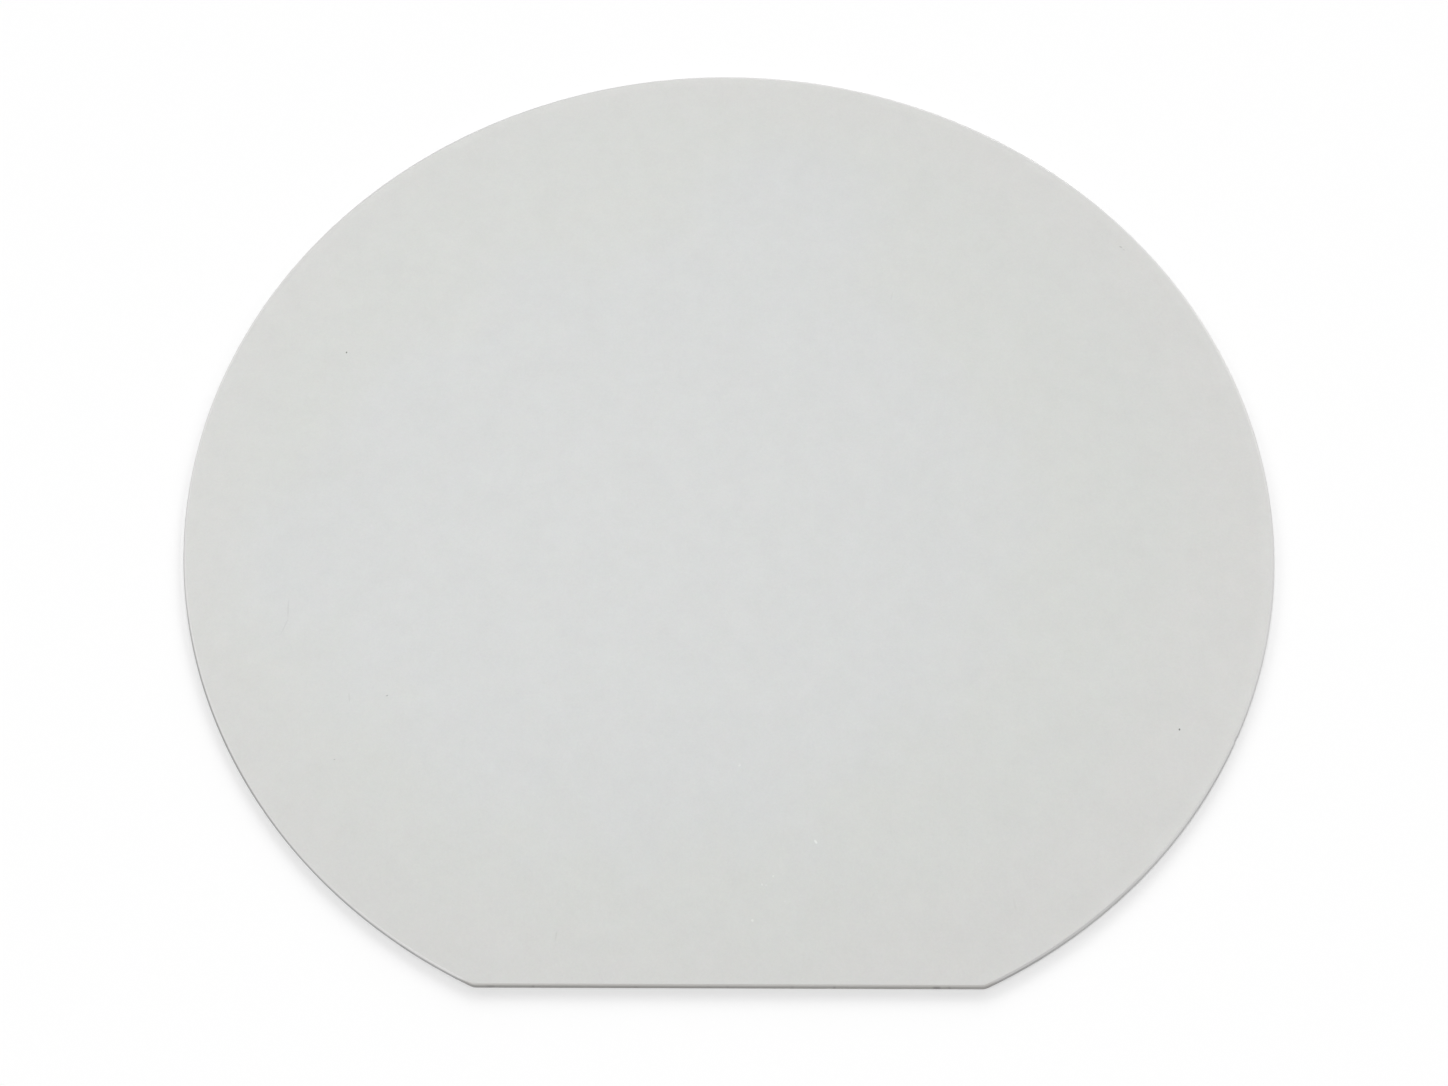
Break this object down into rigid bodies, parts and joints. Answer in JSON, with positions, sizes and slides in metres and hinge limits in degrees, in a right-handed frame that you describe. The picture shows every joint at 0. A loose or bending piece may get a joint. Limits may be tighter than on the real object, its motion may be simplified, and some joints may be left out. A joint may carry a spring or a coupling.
{
  "type": "silicon wafer",
  "caption": "Thin round slice of silicon with a straight alignment flat and a bevelled, rounded edge, used as the blank on which chips are made.",
  "frame": {"origin": "centre of the round outline, on the back face", "axes": "+Z out of the front face, +X along the flat, and the flat faces -Y"},
  "size_m": [0.15, 0.1431, 0.0007],
  "materials": {
    "silicon": "fine etched satin, light neutral grey on both faces, a little darker on the ground edge"
  },
  "bodies": {
    "root": {"wafer": "silicon"}
  },
  "joints": []
}
